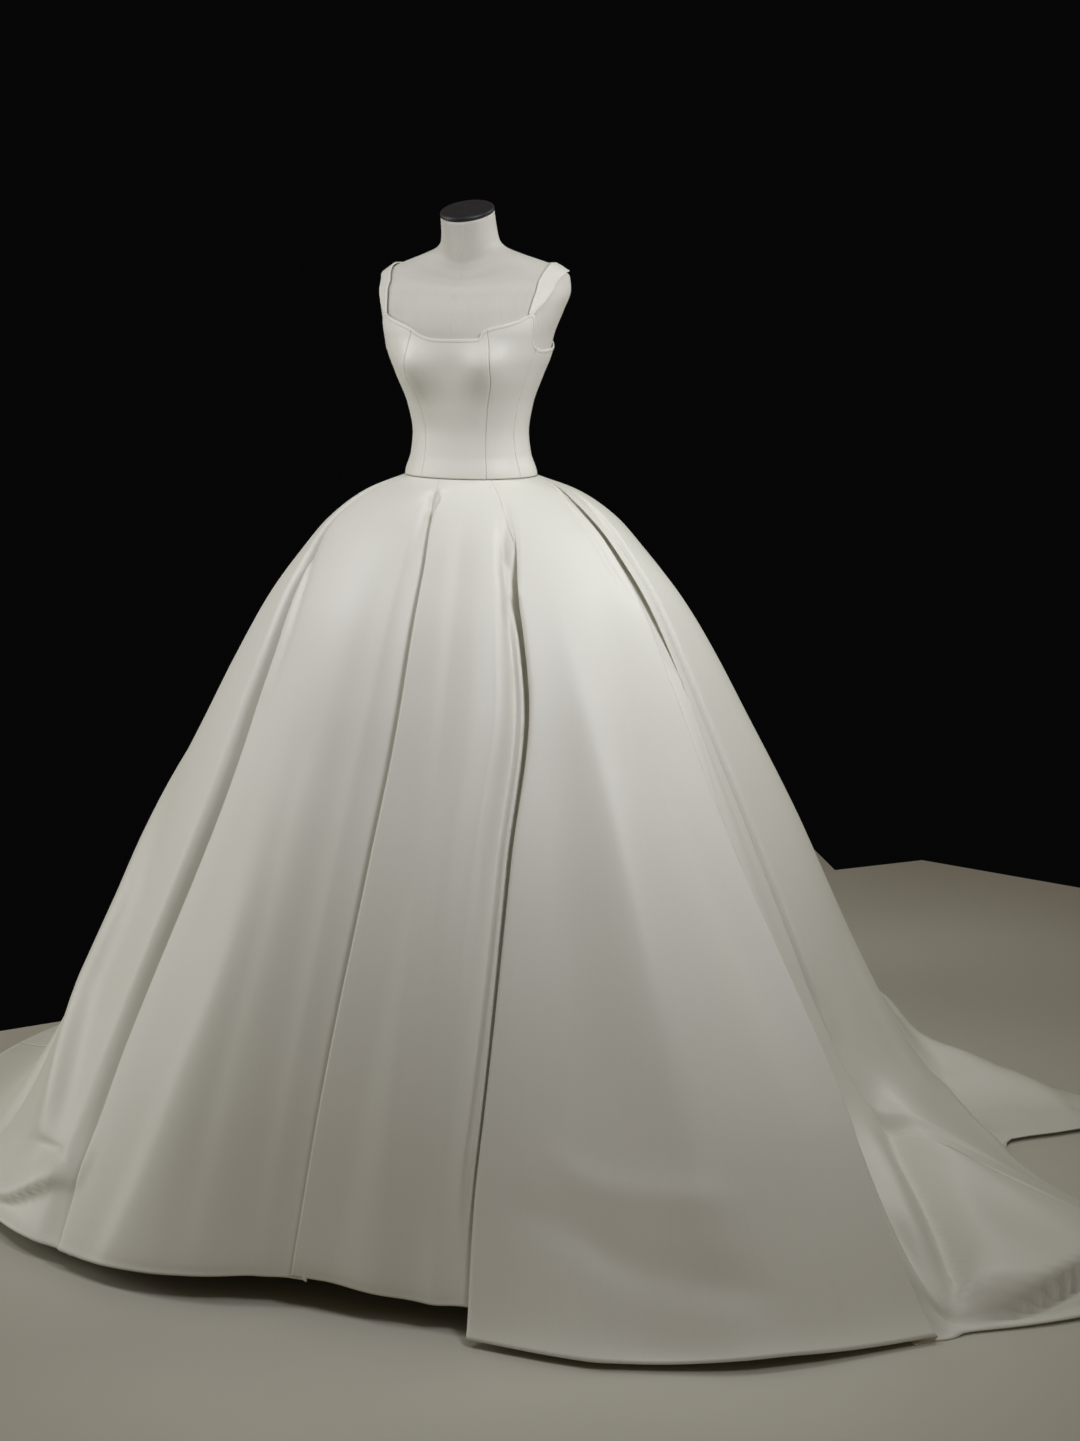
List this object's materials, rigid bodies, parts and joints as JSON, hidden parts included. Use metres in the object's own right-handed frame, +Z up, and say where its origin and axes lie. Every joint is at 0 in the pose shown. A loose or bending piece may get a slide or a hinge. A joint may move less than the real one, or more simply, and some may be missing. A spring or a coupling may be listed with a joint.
{
  "type": "wedding dress on dress form",
  "caption": "Ivory satin ball gown with square neck, wide shoulder straps, deep pleated skirt and train, worn on a limbless dress form on a disc stand.",
  "frame": {"origin": "centre of the stand base's underside, on the floor", "axes": "+Z up along the stand's pole, -Y is the way the dress faces, +X is the wearer's left, the train runs towards +Y"},
  "size_m": [2.3387, 2.4987, 1.6757],
  "materials": {
    "satin": "satin",
    "linen": "matte",
    "cap_black": "satin",
    "stand_steel": "brushed"
  },
  "bodies": {
    "root": {"skirt_back_right": "satin", "skirt_back_side_right": "satin", "skirt_side_right": "satin", "skirt_front_side_right": "satin", "skirt_front_right": "satin", "skirt_front_centre": "satin", "skirt_front_left": "satin", "skirt_side_front_left": "satin", "skirt_side_left": "satin", "skirt_back_side_left": "satin", "skirt_back_left": "satin", "bodice_centre_front": "satin", "bodice_side_front_right": "satin", "bodice_side_back_right": "satin", "bodice_centre_back_right": "satin", "shoulder_strap_right": "satin", "bodice_side_front_left": "satin", "bodice_side_back_left": "satin", "bodice_centre_back_left": "satin", "shoulder_strap_left": "satin", "form_body": "linen", "form_neck_cap": "cap_black", "stand_pole": "stand_steel", "stand_base": "stand_steel"}
  },
  "joints": []
}
